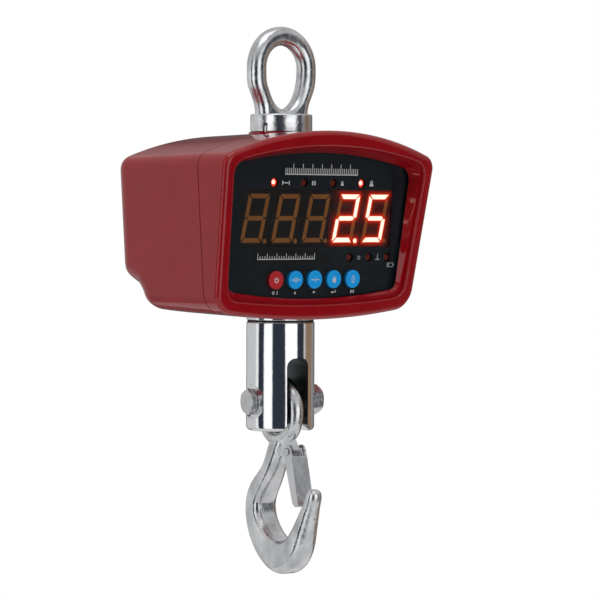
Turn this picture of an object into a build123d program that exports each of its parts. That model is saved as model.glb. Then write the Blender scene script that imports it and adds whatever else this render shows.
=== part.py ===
"""Crane scale: lifting eye, painted housing with a digit display, and a swivelling latched hook.

Frame: the origin is the seat of the lifting eye, where the crane's hook or shackle bears.
+Z is up along the load line, -Y is the display side, +X is to the right of a reader.
All sizes are in millimetres.
"""

from build123d import *
from math import cos, pi, radians, sin, sqrt, tan
import os

# ------------------------------------------------------------------ levels on the load line
COLLAR_TOP = -54.8
COLLAR_BASE = -68.5
CELL_TOP = -86.0
CELL_BASE = -170.0
CUP_TOP = -178.0
CUP_BASE = -218.6
CLEVIS_TOP = -220.3
SLOT_TOP = -248.5
PIN_Z = -283.7
CLEVIS_BASE = -307.0
HOOK_EYE_Z = -291.9

# ------------------------------------------------------------------ lifting eye
EYE_BAR = 15.0
EYE_CENTRE_Z = -18.1
EYE_HOLE_R = 18.1
EYE_OUTER_R = EYE_HOLE_R + EYE_BAR
EYE_HOLE_BASE = -50.8
COLLAR_R = 24.75
M20_R = 10.0
THREAD_GAP = 0.05

# ------------------------------------------------------------------ housing
HOUSING_TOP = -68.9
HOUSING_BASE = -217.5
TOP_ARCH_R = 290.0
BASE_ARCH_R = 622.0
SHOULDER_W = 108.3
HIP_W = 100.8
SHOULDER_R = 12.0
HIP_R = 19.0
REAR_Y = 84.0
REAR_EDGE_R = 17.0
WALL = 3.0
SEAM_Y = -30.0
SEAM_GAP = 0.8
DRAFT = 1.2

# ------------------------------------------------------------------ tilted front
RIM_TILT = 10.0
RIM_Y, RIM_Z = -56.8, -140.0
RIM_EDGE_R = 4.5
WINDOW_TILT = 4.5
WINDOW_Y, WINDOW_Z = -44.4, -148.0
WINDOW_T = 3.0
WINDOW_SEAL_T = 0.8
WINDOW_LAP = 3.0

# ------------------------------------------------------------------ display and keys, on the window plane
DIGIT_COUNT = 5
DIGIT_PITCH = 31.0
DIGIT_CENTRE = (2.4, 10.2)
MODULE_W, MODULE_H, MODULE_D = 30.8, 48.0, 7.6
DIGIT_H, DIGIT_W = 38.1, 21.2
SEGMENT_T = 3.6
SEGMENT_GAP = 0.35
DIGIT_SLANT = 10.0
SEGMENT_DEPTH = 0.6
POINT_R = 1.9
POINT_OFFSET = (10.6, -17.9)
LAMP_R = 3.3
UPPER_LAMPS = (-42.9, -12.8, 17.2, 47.2)
UPPER_LAMP_V = 38.2
LOWER_LAMPS = (38.7, 58.8, 78.5)
LOWER_LAMP_V = -21.0
KEY_COUNT = 5
KEY_PITCH = 19.8
KEY_FIRST_U = -38.2
KEY_V = -38.0
KEY_R = 7.2
KEY_TRAVEL = 0.8
KEY_TOP = -0.2
SENSOR_CENTRE = (14.3, -20.8)
SENSOR_SIZE = (10.8, 8.8)

# depths behind the window plane (negative is into the housing)
WINDOW_BACK = -WINDOW_SEAL_T - WINDOW_T
MODULE_FACE = WINDOW_BACK - 0.6
BOARD_FACE = MODULE_FACE - MODULE_D
BOARD_T = 1.6

# ------------------------------------------------------------------ swivel, fork and hook
FORK_R = 27.3
SLOT_W = 20.0
SHANK_R = 10.0
CUP_R = 24.6
CUP_FLANGE_H = 9.5
CUP_BORE_R = 21.3
CAP_R = 24.0
BALL_R = 3.5
BALL_RING_R = 15.2
BALL_COUNT = 11
PIN_R = 6.95
PIN_HOLE_R = 7.0
SPOT_X = 24.5
BOLT_AF = 18.4
NUT_AF = 21.0
NUT_H = 11.0
WASHER_T = 2.2
HOOK_EYE_HOLE_R = 15.6
HOOK_EYE_BAR_R = 6.7
LATCH_PIVOT = (-21.4, -323.0)
LATCH_PIN_R = 2.0
SPRING_WIRE_R = 0.5
SPRING_R = 3.2
SPRING_X = 2.6
SPRING_PITCH = 1.1
SPRING_TURNS = 2
REST_TURN = -7.0


def front_plane(depth=0.0):
    """Plane of the window, `depth` proud of it: local x is +X and local y runs up the window."""
    tilt = radians(WINDOW_TILT)
    normal = Vector(0, -cos(tilt), -sin(tilt))
    return Plane(origin=Vector(0, WINDOW_Y, WINDOW_Z) + normal * depth, x_dir=(1, 0, 0), z_dir=normal)


def rim_plane():
    """Plane of the red rim round the window."""
    tilt = radians(RIM_TILT)
    normal = Vector(0, -cos(tilt), -sin(tilt))
    return Plane(origin=(0, RIM_Y, RIM_Z), x_dir=(1, 0, 0), z_dir=normal)


def arched_outline(top, base, shoulder, hip, top_r, base_r, corner_top, corner_base):
    """Closed face with an arched top and base, leaning sides and round corners."""
    shoulder_v = top - (top_r - sqrt(top_r**2 - shoulder**2))
    hip_v = base + (base_r - sqrt(base_r**2 - hip**2))
    with BuildSketch() as face:
        with BuildLine():
            ThreePointArc((-shoulder, shoulder_v), (0, top), (shoulder, shoulder_v))
            Line((shoulder, shoulder_v), (hip, hip_v))
            ThreePointArc((hip, hip_v), (0, base), (-hip, hip_v))
            Line((-hip, hip_v), (-shoulder, shoulder_v))
        make_face()
        fillet(face.vertices().group_by(Axis.Y)[-1], corner_top)
        fillet(face.vertices().filter_by_position(Axis.Y, base, hip_v + 1), corner_base)
    return face.sketch


def housing_solid(inset):
    """The housing's closed form, every face moved in by `inset`."""
    section = arched_outline(
        HOUSING_TOP, HOUSING_BASE, SHOULDER_W, HIP_W, TOP_ARCH_R, BASE_ARCH_R, SHOULDER_R, HIP_R
    )
    with BuildPart() as body:
        with BuildSketch(Plane.XZ.offset(-SEAM_Y)) as end:
            add(section)
            if inset:
                offset(amount=-inset)
        extrude(amount=60)
        extrude(end.sketch, amount=-150, taper=DRAFT)
        with BuildSketch(Plane.YZ) as side:
            with BuildLine():
                Polyline(
                    (-95, -55), (REAR_Y, -55), (REAR_Y, -183), (64, -192), (55, -203), (46, -230),
                    (-95, -230), close=True
                )
            make_face()
            fillet(side.vertices().filter_by_position(Axis.Y, -185, -170), 12)
            fillet(side.vertices().filter_by_position(Axis.Y, -195, -188), 9)
            fillet(side.vertices().filter_by_position(Axis.Y, -205, -200), 30)
            if inset:
                offset(amount=-inset)
        extrude(amount=120, both=True, mode=Mode.INTERSECT)
        rear = [
            e for e in body.edges()
            if e.center().Y > 40 and abs(e.tangent_at(0.5).X) < 0.999 and abs(e.tangent_at(0.5).Y) < 0.999
            or (e.center().Y > 40 and e.geom_type != GeomType.LINE)
        ]
        fillet(rear, REAR_EDGE_R - inset)
    return body.part


def half_space(plane, size=400):
    """Big block on the far side of `plane` from its normal."""
    return plane * Pos(0, 0, -size / 2) * Box(size, size, size)


def window_outline(grow=0.0):
    """Visible window edge, in the window plane."""
    with BuildSketch() as face:
        add(arched_outline(62.3, -53.1, 95.4, 85.8, 365, 545, 11, 7))
        if grow:
            offset(amount=grow)
    return face.sketch


def rim_opening():
    """Inner edge of the rim, in the rim plane."""
    return arched_outline(59.5, -66.8, 98.2, 90.4, 361, 796, 13, 12)


SHELL_SCREWS = [(-87, -103), (87, -103), (-74, -205.2), (74, -205.2)]
RETAINER_SCREWS = [(-45, 66.8), (45, 66.8), (-45, -61.0), (45, -61.0)]


def front_posts():
    """Posts in the front casting: four take the shell screws, four the window frame's screws."""
    posts = []
    front_end = SEAM_Y - SEAM_GAP / 2
    for x, z in SHELL_SCREWS:
        upper = z > -150
        start = -41.0 if upper else -39.5
        length = front_end - start
        lean = 50 if upper else -88
        turn = lean if x > 0 else 180 - lean
        middle = Pos(x, start + length / 2, z)
        posts.append(middle * Rot(90, 0, 0) * Cylinder(4.5, length))
        posts.append(middle * Rot(0, -turn, 0) * Pos(11, 0, 0) * Box(22, length, 7))
    for u, v in RETAINER_SCREWS:
        posts.append(front_plane(WINDOW_BACK / 2) * Pos(u, v, 0) * Cylinder(3.5, -WINDOW_BACK))
    return posts[0].fuse(*posts[1:]) & housing_solid(1.0)


def front_shell():
    """Painted front casting: raised rim, drafted recess and a ledge that the window seats on."""
    seam = Plane.XZ.offset(-SEAM_Y + SEAM_GAP / 2)
    window = front_plane()
    cavity = housing_solid(WALL) & half_space(window)
    posts = front_posts()
    with BuildPart() as shell:
        add(housing_solid(0))
        split(bisect_by=seam, keep=Keep.TOP)
        split(bisect_by=rim_plane(), keep=Keep.BOTTOM)
        fillet(shell.faces().sort_by(Axis.Y)[0].edges(), RIM_EDGE_R)
        add(cavity, mode=Mode.SUBTRACT)
        with BuildSketch(rim_plane()) as mouth:
            add(rim_opening())
        with BuildSketch(window) as throat:
            add(window_outline())
        loft(sections=[mouth.sketch, throat.sketch], mode=Mode.SUBTRACT)
        with BuildSketch(window.offset(1)):
            add(window_outline())
        extrude(amount=-4, mode=Mode.SUBTRACT)
        lip = shell.edges().filter_by(lambda e: abs(rim_plane().to_local_coords(e.center()).Z) < 0.3)
        fillet(lip, 1.6)
        add(posts)
        with BuildSketch(seam):
            with Locations(*SHELL_SCREWS):
                Circle(1.7)
        extrude(amount=7.5, mode=Mode.SUBTRACT)
        with BuildSketch(front_plane(WINDOW_BACK)):
            with Locations(*RETAINER_SCREWS):
                Circle(1.25)
        extrude(amount=3.3, mode=Mode.SUBTRACT)
    return shell.part


BATTERY_Z = -131.0
BATTERY_SIZE = (105.0, 47.0, 70.0)
COVER_SIZE = (128.0, 82.0)
COVER_SCREWS = [(-59.5, -95.5), (59.5, -95.5), (-59.5, -166.5), (59.5, -166.5)]
SOCKET_X, SOCKET_Z = 78.0, -150.0
KEY_ANGLE = 199.4
KEY_RING_R = 22.6
PAD_TOP = -69.1
PAD_BASE = -74.0


def rear_ribs():
    """Inside the rear casting: screw wells, shelf ribs for the battery and the pad round the eye."""
    length = 112.0
    middle = SEAM_Y + SEAM_GAP / 2 + length / 2
    ribs = []
    for x, z in SHELL_SCREWS:
        ribs.append(Pos(x, middle, z) * Rot(90, 0, 0) * Cylinder(6, length))
        ribs.append(Pos(x * 1.07, middle, z + (5 if z > -150 else -4)) * Box(10, length, 8))
    for x in (-40, 40):
        ribs.append(Pos(x, 56, -195) * Box(6, 52, 50))
    skin = housing_solid(0.5)
    pad = Pos(0, 0, (PAD_TOP + PAD_BASE) / 2) * Cylinder(26, PAD_TOP - PAD_BASE)
    return (ribs[0].fuse(*ribs[1:]) & skin) + pad


def rear_shell():
    """Painted rear casting: deep bucket that hangs from the eye and holds the load cell and battery."""
    seam = Plane.XZ.offset(-SEAM_Y - SEAM_GAP / 2)
    ribs = rear_ribs()
    outer = housing_solid(0)
    with BuildPart() as shell:
        add(outer)
        split(bisect_by=seam, keep=Keep.BOTTOM)
        add(housing_solid(WALL), mode=Mode.SUBTRACT)
        add(ribs)
        with Locations((0, 0, PAD_TOP + 2)):
            Cylinder(26, 4, mode=Mode.SUBTRACT)
        # openings: eye shank, swivel cup, battery, cover screws, socket and shell screws
        with Locations((0, 0, -72)):
            Cylinder(M20_R + 0.6, 12, mode=Mode.SUBTRACT)
        with Locations((0, 0, HOUSING_BASE)):
            Cylinder(FORK_R + 0.6, 12, mode=Mode.SUBTRACT)
        with Locations((0, REAR_Y - 2, BATTERY_Z)):
            Box(110, 12, 73, mode=Mode.SUBTRACT)
        with BuildSketch(Plane.XZ.offset(-REAR_Y - 1)):
            with Locations(*COVER_SCREWS):
                Circle(1.55)
            with Locations((SOCKET_X, SOCKET_Z)):
                Circle(6.2)
        extrude(amount=8, mode=Mode.SUBTRACT)
        with BuildSketch(Plane.XZ.offset(-REAR_Y - 1)):
            with Locations(*SHELL_SCREWS):
                Circle(4.0)
        extrude(amount=REAR_Y + 1 + 16, mode=Mode.SUBTRACT)
        with BuildSketch(seam):
            with Locations(*SHELL_SCREWS):
                Circle(2.3)
        extrude(amount=-30, mode=Mode.SUBTRACT)
        with Locations(Rot(0, 0, KEY_ANGLE) * Pos(KEY_RING_R, 0, -72)):
            Cylinder(2.0, 12, mode=Mode.SUBTRACT)
    return shell.part


def shell_gasket():
    """Thin rubber gasket between the two castings."""
    section = arched_outline(
        HOUSING_TOP, HOUSING_BASE, SHOULDER_W, HIP_W, TOP_ARCH_R, BASE_ARCH_R, SHOULDER_R, HIP_R
    )
    with BuildPart() as ring:
        with BuildSketch(Plane.XZ.offset(-SEAM_Y - SEAM_GAP / 2)):
            add(section)
            offset(amount=-0.5)
        extrude(amount=SEAM_GAP)
        with BuildSketch(Plane.XZ.offset(-SEAM_Y - SEAM_GAP / 2)):
            add(section)
            offset(amount=-WALL)
        extrude(amount=SEAM_GAP, mode=Mode.SUBTRACT)
    return ring.part


def shell_screws():
    """Four socket-head screws, sunk deep in the rear casting."""
    group = []
    for x, z in SHELL_SCREWS:
        with BuildPart() as screw:
            with BuildSketch(Plane.XZ.offset(15.9)):
                with Locations((x, z)):
                    Circle(3.5)
            extrude(amount=-4)
            with BuildSketch(Plane.XZ.offset(15.9)):
                with Locations((x, z)):
                    Circle(1.65)
            extrude(amount=22)
            with BuildSketch(Plane.XZ.offset(11.9)):
                with Locations((x, z)):
                    RegularPolygon(1.7, 6)
            extrude(amount=2, mode=Mode.SUBTRACT)
        group.append(screw.part)
    return Compound(children=group)


def screw_plugs():
    """Rubber plugs that close the screw wells."""
    group = []
    for x, z in SHELL_SCREWS:
        back = 74.0 if z > -150 else 44.0
        with BuildPart() as plug:
            with BuildSketch(Plane.XZ.offset(-back)):
                with Locations((x, z)):
                    Circle(3.95)
            extrude(amount=6)
            fillet(plug.edges().sort_by(Axis.Y)[-1], 0.8)
        group.append(plug.part)
    return Compound(children=group)


# ------------------------------------------------------------------ display
def display_window():
    """Smoke-tinted panel with a round hole for each key."""
    with BuildPart() as panel:
        with BuildSketch(front_plane(-WINDOW_SEAL_T)):
            add(window_outline(WINDOW_LAP))
            with Locations(*key_centres()):
                Circle(KEY_R + 0.3, mode=Mode.SUBTRACT)
        extrude(amount=-WINDOW_T)
    return panel.part


def key_centres():
    """Centres of the keys in the window plane."""
    return [(KEY_FIRST_U + KEY_PITCH * i, KEY_V) for i in range(KEY_COUNT)]


def window_gasket():
    """Flat rubber ring between the window and the casting's ledge."""
    with BuildPart() as ring:
        with BuildSketch(front_plane()):
            add(window_outline(WINDOW_LAP))
            add(window_outline(0.3), mode=Mode.SUBTRACT)
        extrude(amount=-WINDOW_SEAL_T)
    return ring.part


def window_retainer():
    """Pressed steel frame that holds the window and gasket against the ledge."""
    with BuildPart() as frame:
        with BuildSketch(front_plane(WINDOW_BACK)):
            add(window_outline(WINDOW_LAP + 0.5))
            with Locations(*RETAINER_SCREWS):
                Circle(4.2)
            with Locations(*[(u, v - (6 if v > 0 else -6)) for u, v in RETAINER_SCREWS]):
                Rectangle(8.4, 12)
            with Locations((2.3, -3.2)):
                RectangleRounded(159.5, 90.6, 4, mode=Mode.SUBTRACT)
            with Locations(*RETAINER_SCREWS):
                Circle(1.7, mode=Mode.SUBTRACT)
        extrude(amount=-1.5)
    return frame.part


def retainer_screws():
    """Four pan-head screws of the window frame."""
    group = []
    for u, v in RETAINER_SCREWS:
        place = front_plane(WINDOW_BACK - 1.5)
        with BuildPart() as screw:
            with BuildSketch(place):
                with Locations((u, v)):
                    Circle(2.8)
            extrude(amount=-1.8)
            with BuildSketch(place):
                with Locations((u, v)):
                    Circle(1.2)
            extrude(amount=4.6)
        group.append(screw.part)
    return Compound(children=group)


def slanted(points):
    """Lean a digit's points over by the digit slant."""
    lean = tan(radians(DIGIT_SLANT))
    return [(x + y * lean, y) for x, y in points]


def segment_shapes():
    """The seven bars of a digit, each as its corner points about the digit's centre."""
    w, h, t, g = DIGIT_W / 2, DIGIT_H / 2, SEGMENT_T, SEGMENT_GAP
    top = [(-w + g + 0.6, h), (w - g - 0.6, h), (w - t - g, h - t), (-w + t + g, h - t)]
    upper_right = [(w, h - g - 0.6), (w, t / 4), (w - t / 2, g), (w - t, t / 2 + g), (w - t, h - t - g)]
    middle = [(-w + t / 2 + g, 0), (-w + t + g, t / 2), (w - t - g, t / 2), (w - t / 2 - g, 0),
              (w - t - g, -t / 2), (-w + t + g, -t / 2)]
    flip_x = lambda points: [(-x, y) for x, y in points]
    flip_y = lambda points: [(x, -y) for x, y in points]
    return {
        "a": top, "b": upper_right, "c": flip_y(upper_right), "d": flip_y(top),
        "e": flip_x(flip_y(upper_right)), "f": flip_x(upper_right), "g": middle,
    }


LIT_BARS = {3: "abged", 4: "afgcd"}
LIT_POINTS = {3}


def module_centre(index):
    """Centre of a digit module in the window plane."""
    return (DIGIT_CENTRE[0] + (index - (DIGIT_COUNT - 1) / 2) * DIGIT_PITCH, DIGIT_CENTRE[1])


def bar_prism(centre, points):
    """One light bar, its face flush with the module's face."""
    with BuildPart() as bar:
        with BuildSketch(front_plane(MODULE_FACE)):
            with Locations(centre):
                Polygon(*slanted(points), align=None)
        extrude(amount=-SEGMENT_DEPTH)
    return bar.part


def point_prism(centre):
    """The round decimal point of a digit."""
    with BuildPart() as point:
        with BuildSketch(front_plane(MODULE_FACE)):
            with Locations((centre[0] + POINT_OFFSET[0], centre[1] + POINT_OFFSET[1])):
                Circle(POINT_R)
        extrude(amount=-SEGMENT_DEPTH)
    return point.part


def digit_module(index):
    """Black digit body with a pocket for each light bar."""
    centre = module_centre(index)
    with BuildPart() as module:
        with BuildSketch(front_plane(MODULE_FACE)):
            with Locations(centre):
                Rectangle(MODULE_W, MODULE_H)
        extrude(amount=-MODULE_D)
        with BuildSketch(front_plane(MODULE_FACE)):
            with Locations(centre):
                for points in segment_shapes().values():
                    Polygon(*slanted(points), align=None)
            with Locations((centre[0] + POINT_OFFSET[0], centre[1] + POINT_OFFSET[1])):
                Circle(POINT_R)
        extrude(amount=-SEGMENT_DEPTH, mode=Mode.SUBTRACT)
    return module.part


def light_bars(lit):
    """All light bars and decimal points that are lit, or all that are dark."""
    group = []
    for index in range(DIGIT_COUNT):
        centre = module_centre(index)
        for name, points in segment_shapes().items():
            if (name in LIT_BARS.get(index, "")) == lit:
                group.append(bar_prism(centre, points))
        if (index in LIT_POINTS) == lit:
            group.append(point_prism(centre))
    return Compound(children=group)


def lamps(lit):
    """Round indicator lamps with domed ends, standing on the display board."""
    places = [(u, UPPER_LAMP_V) for u in UPPER_LAMPS] + [(u, LOWER_LAMP_V) for u in LOWER_LAMPS]
    chosen = [p for i, p in enumerate(places) if (i in (0, 3)) == lit]
    group = []
    for u, v in chosen:
        with BuildPart() as lamp:
            with BuildSketch(front_plane(BOARD_FACE)):
                with Locations((u, v)):
                    Circle(LAMP_R)
            extrude(amount=WINDOW_BACK - 0.4 - BOARD_FACE)
            fillet(lamp.faces().sort_by(Axis.Y)[0].edges(), LAMP_R * 0.5)
        group.append(lamp.part)
    return Compound(children=group)


def infrared_receiver():
    """Small dark block that sees the remote control through the window."""
    with BuildPart() as block:
        with BuildSketch(front_plane(BOARD_FACE)):
            with Locations(SENSOR_CENTRE):
                Rectangle(*SENSOR_SIZE)
        extrude(amount=WINDOW_BACK - 0.5 - BOARD_FACE)
        fillet(block.faces().sort_by(Axis.Y)[0].edges(), 0.8)
    return block.part


BOARD_POSTS = [(-86, -33), (-86, 33), (87.5, -33), (87.5, 33)]
MAIN_POSTS = [(-86, -28), (-46, -28), (-86, 26), (-46, 26)]


def display_board():
    """Circuit board behind the digits, keys and lamps."""
    with BuildPart() as board:
        with BuildSketch(front_plane(BOARD_FACE)) as face:
            with Locations((1, -2)):
                Rectangle(182, 90)
            chamfer(face.vertices(), 11)
            with Locations(*BOARD_POSTS):
                Circle(1.6, mode=Mode.SUBTRACT)
        extrude(amount=-BOARD_T)
    return board.part


def board_standoffs():
    """Hex spacers from the window frame to the display board."""
    group = []
    for u, v in BOARD_POSTS:
        with BuildPart() as spacer:
            with BuildSketch(front_plane(WINDOW_BACK - 1.5)):
                with Locations((u, v)):
                    RegularPolygon(3.1, 6)
                    Circle(1.3, mode=Mode.SUBTRACT)
            extrude(amount=BOARD_FACE - WINDOW_BACK + 1.5)
        group.append(spacer.part)
    return Compound(children=group)


def tact_switches():
    """Five switches that the keys press on."""
    group = []
    for u, v in key_centres():
        with BuildPart() as switch:
            with BuildSketch(front_plane(BOARD_FACE)):
                with Locations((u, v)):
                    Rectangle(6, 6)
            extrude(amount=3.4)
            with BuildSketch(front_plane(BOARD_FACE + 3.4)):
                with Locations((u, v)):
                    Circle(1.75)
            extrude(amount=0.9)
        group.append(switch.part)
    return Compound(children=group)


def push_key(index):
    """Round key cap with a flange behind the window and a stem to its switch."""
    centre = key_centres()[index]
    with BuildPart() as key:
        with BuildSketch(front_plane(WINDOW_BACK - 0.3)):
            with Locations(centre):
                Circle(KEY_R)
        extrude(amount=KEY_TOP - WINDOW_BACK + 0.3)
        fillet(key.faces().sort_by(Axis.Y)[0].edges(), 0.45)
        with BuildSketch(front_plane(WINDOW_BACK - 0.3)):
            with Locations(centre):
                Circle(KEY_R + 1.4)
        extrude(amount=-1)
        with BuildSketch(front_plane(WINDOW_BACK - 1.3)):
            with Locations(centre):
                Circle(2.5)
        extrude(amount=BOARD_FACE + 4.3 + KEY_TRAVEL + 0.4 - WINDOW_BACK + 1.3)
    return key.part


def main_board():
    """Board with the amplifier and charger, stacked behind the display board."""
    depth = BOARD_FACE - BOARD_T - 8.0
    with BuildPart() as board:
        with BuildSketch(front_plane(depth)):
            with Locations((-66, -1)):
                RectangleRounded(50, 64, 2)
            with Locations(*MAIN_POSTS):
                Circle(1.6, mode=Mode.SUBTRACT)
        extrude(amount=-BOARD_T)
        with BuildSketch(front_plane(depth - BOARD_T)):
            with Locations((-70, 8)):
                Rectangle(14, 14)
            with Locations((-55, -14), (-76, -14)):
                Rectangle(8, 5)
        extrude(amount=-2)
    return board.part


def main_board_spacers():
    """Round spacers between the two boards."""
    group = []
    for u, v in MAIN_POSTS:
        with BuildPart() as spacer:
            with BuildSketch(front_plane(BOARD_FACE - BOARD_T)):
                with Locations((u, v)):
                    Circle(3)
                    Circle(1.4, mode=Mode.SUBTRACT)
            extrude(amount=-8)
        group.append(spacer.part)
    return Compound(children=group)


# ------------------------------------------------------------------ power
def battery_pack():
    """Sealed block battery with two tab terminals on top."""
    x, y, z = BATTERY_SIZE
    with BuildPart() as pack:
        with Locations((0, 27 + y / 2, BATTERY_Z)):
            Box(x, y, z)
        fillet(pack.edges(), 1.5)
        with Locations((-40, 38, BATTERY_Z + z / 2 + 3), (40, 38, BATTERY_Z + z / 2 + 3)):
            Box(0.9, 4.8, 6)
    return pack.part


def battery_tray():
    """Folded steel shelf under the battery."""
    floor = BATTERY_Z - BATTERY_SIZE[2] / 2 - 0.2
    with BuildPart() as tray:
        with Locations((0, 50, floor - 0.75)):
            Box(109, 49, 1.5)
        with Locations((0, 26.25, floor + 9)):
            Box(109, 1.5, 21)
        with Locations((-53.75, 50, floor + 6), (53.75, 50, floor + 6)):
            Box(1.5, 49, 15)
    return tray.part


def battery_cover():
    """Flat door over the battery opening."""
    with BuildPart() as cover:
        with BuildSketch(Plane.XZ.offset(-REAR_Y - 0.6)):
            with Locations((0, BATTERY_Z)):
                RectangleRounded(*COVER_SIZE, 8)
            with Locations(*COVER_SCREWS):
                Circle(1.6, mode=Mode.SUBTRACT)
        extrude(amount=-3)
        fillet(cover.faces().sort_by(Axis.Y)[-1].outer_wire().edges(), 1.2)
        with BuildSketch(Plane.XZ.offset(-REAR_Y - 3.6)):
            with Locations(*[(x, BATTERY_Z) for x in range(-32, 33, 8)]):
                SlotOverall(44, 2.4, rotation=90)
        extrude(amount=1, mode=Mode.SUBTRACT)
    return cover.part


def cover_gasket():
    """Foam seal under the battery cover."""
    with BuildPart() as seal:
        with BuildSketch(Plane.XZ.offset(-REAR_Y)):
            with Locations((0, BATTERY_Z)):
                RectangleRounded(COVER_SIZE[0] - 1, COVER_SIZE[1] - 1, 7.5)
                RectangleRounded(111, 75, 2, mode=Mode.SUBTRACT)
            with Locations(*COVER_SCREWS):
                Circle(1.6, mode=Mode.SUBTRACT)
        extrude(amount=-0.6)
    return seal.part


def cover_screws():
    """Four pan-head screws of the battery cover."""
    group = []
    for x, z in COVER_SCREWS:
        with BuildPart() as screw:
            with BuildSketch(Plane.XZ.offset(-REAR_Y - 3.6)):
                with Locations((x, z)):
                    Circle(2.9)
            extrude(amount=-2)
            fillet(screw.faces().sort_by(Axis.Y)[-1].edges(), 0.9)
            with BuildSketch(Plane.XZ.offset(-REAR_Y - 5.6)):
                with Locations((x, z)):
                    Rectangle(3.4, 0.7)
                    Rectangle(0.7, 3.4)
            extrude(amount=0.9, mode=Mode.SUBTRACT)
            with BuildSketch(Plane.XZ.offset(-REAR_Y - 3.6)):
                with Locations((x, z)):
                    Circle(1.5)
            extrude(amount=8)
        group.append(screw.part)
    return Compound(children=group)


def charging_socket():
    """Round charger socket with its centre pin."""
    with BuildPart() as socket:
        with BuildSketch(Plane.XZ.offset(-REAR_Y)):
            with Locations((SOCKET_X, SOCKET_Z)):
                Circle(8.0)
        extrude(amount=-1.6)
        fillet(socket.faces().sort_by(Axis.Y)[-1].edges(), 0.6)
        with BuildSketch(Plane.XZ.offset(-REAR_Y)):
            with Locations((SOCKET_X, SOCKET_Z)):
                Circle(6.1)
        extrude(amount=16)
        with BuildSketch(Plane.XZ.offset(-REAR_Y - 1.6)):
            with Locations((SOCKET_X, SOCKET_Z)):
                Circle(2.85)
                Circle(1.0, mode=Mode.SUBTRACT)
        extrude(amount=10.5, mode=Mode.SUBTRACT)
        with BuildSketch(Plane.XZ.offset(-REAR_Y - 1.6)):
            with Locations((SOCKET_X, SOCKET_Z)):
                Circle(1.1)
        extrude(amount=1.2, mode=Mode.SUBTRACT)
    return socket.part


def socket_nut():
    """Thin hex nut that holds the charger socket."""
    with BuildPart() as nut:
        with BuildSketch(Plane.XZ.offset(-REAR_Y + WALL)):
            with Locations((SOCKET_X, SOCKET_Z)):
                RegularPolygon(8.6, 6)
                Circle(6.15, mode=Mode.SUBTRACT)
        extrude(amount=2.2)
    return nut.part


# ------------------------------------------------------------------ load path above the swivel
def eye_bolt():
    """Forged lifting eye with a round collar and a threaded shank."""
    with BuildPart() as collar:
        with Locations((0, 0, (COLLAR_TOP + COLLAR_BASE) / 2)):
            Cylinder(COLLAR_R, COLLAR_TOP - COLLAR_BASE)
        fillet(collar.edges().sort_by(Axis.Z)[-1], 1.4)
    with BuildPart() as eye:
        with BuildSketch(Plane.XZ):
            with BuildLine():
                r = EYE_OUTER_R
                c = EYE_CENTRE_Z
                ThreePointArc((-r, c), (0, c + r), (r, c))
                Spline((r, c), (31.3, -34.9), (25.4, -49), (24.2, -62),
                       tangents=[(0, -1), (-0.1, -1)])
                Line((24.2, -62), (-24.2, -62))
                Spline((-24.2, -62), (-25.4, -49), (-31.3, -34.9), (-r, c),
                       tangents=[(-0.1, 1), (0, 1)])
            make_face()
            with BuildLine():
                r = EYE_HOLE_R
                ThreePointArc((-r, c), (0, c + r), (r, c))
                Spline((r, c), (15.9, -34), (9.6, -45.6), (0, EYE_HOLE_BASE), (-9.6, -45.6),
                       (-15.9, -34), (-r, c), tangents=[(0, -1), (0, 1)])
            make_face(mode=Mode.SUBTRACT)
        extrude(amount=EYE_BAR / 2, both=True)
        rims = [e for e in eye.edges() if abs(abs(e.center().Y) - EYE_BAR / 2) < 0.01 and e.center().Z > -61]
        fillet(rims, 6.9)
        add(collar.part)
        with Locations((0, 0, COLLAR_BASE - 18.5)):
            Cylinder(M20_R - THREAD_GAP, 37)
        chamfer(eye.edges().sort_by(Axis.Z)[0], 1.5)
        with Locations(Rot(0, 0, KEY_ANGLE) * Pos(KEY_RING_R + 1.5, 0, COLLAR_BASE + 3.2)):
            Box(9, 4.4, 6.4, mode=Mode.SUBTRACT)
    return eye.part


def eye_key():
    """Dowel in the housing that keeps the eye from turning."""
    with BuildPart() as key:
        with Locations(Rot(0, 0, KEY_ANGLE) * Pos(KEY_RING_R, 0, -69)):
            Cylinder(1.95, 9.5)
        fillet(key.edges().sort_by(Axis.Z)[-1], 0.8)
    return key.part


def eye_seal():
    """Rubber ring under the eye's collar."""
    with BuildPart() as seal:
        with Locations((0, 0, (PAD_TOP + COLLAR_BASE) / 2)):
            Cylinder(COLLAR_R - 0.3, COLLAR_BASE - PAD_TOP)
            Cylinder(M20_R + 0.3, 4, mode=Mode.SUBTRACT)
        with Locations(Rot(0, 0, KEY_ANGLE) * Pos(KEY_RING_R, 0, -69)):
            Cylinder(2.2, 4, mode=Mode.SUBTRACT)
    return seal.part


def hex_nut(across, thickness, hole_r):
    """Hex nut about the Z axis with its corners turned off, centred on the origin."""
    with BuildPart() as nut:
        with BuildSketch(Plane.XY.offset(-thickness / 2)):
            RegularPolygon(across / sqrt(3), 6)
        extrude(amount=thickness)
        with BuildSketch(Plane.XZ):
            with BuildLine():
                flat = across * 0.475
                edge = across / sqrt(3) + 0.01
                drop = (edge - flat) * tan(radians(30))
                Polyline((0, thickness / 2), (flat, thickness / 2), (edge, thickness / 2 - drop),
                         (edge, -thickness / 2 + drop), (flat, -thickness / 2), (0, -thickness / 2),
                         close=True)
            make_face()
        revolve(axis=Axis.Z, mode=Mode.INTERSECT)
        if hole_r:
            Cylinder(hole_r, thickness * 2, mode=Mode.SUBTRACT)
    return nut.part


def eye_washer():
    """Flat washer inside the housing's roof."""
    with BuildPart() as washer:
        with Locations((0, 0, PAD_BASE - 1)):
            Cylinder(17, 2)
            Cylinder(M20_R + 0.4, 4, mode=Mode.SUBTRACT)
    return washer.part


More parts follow.
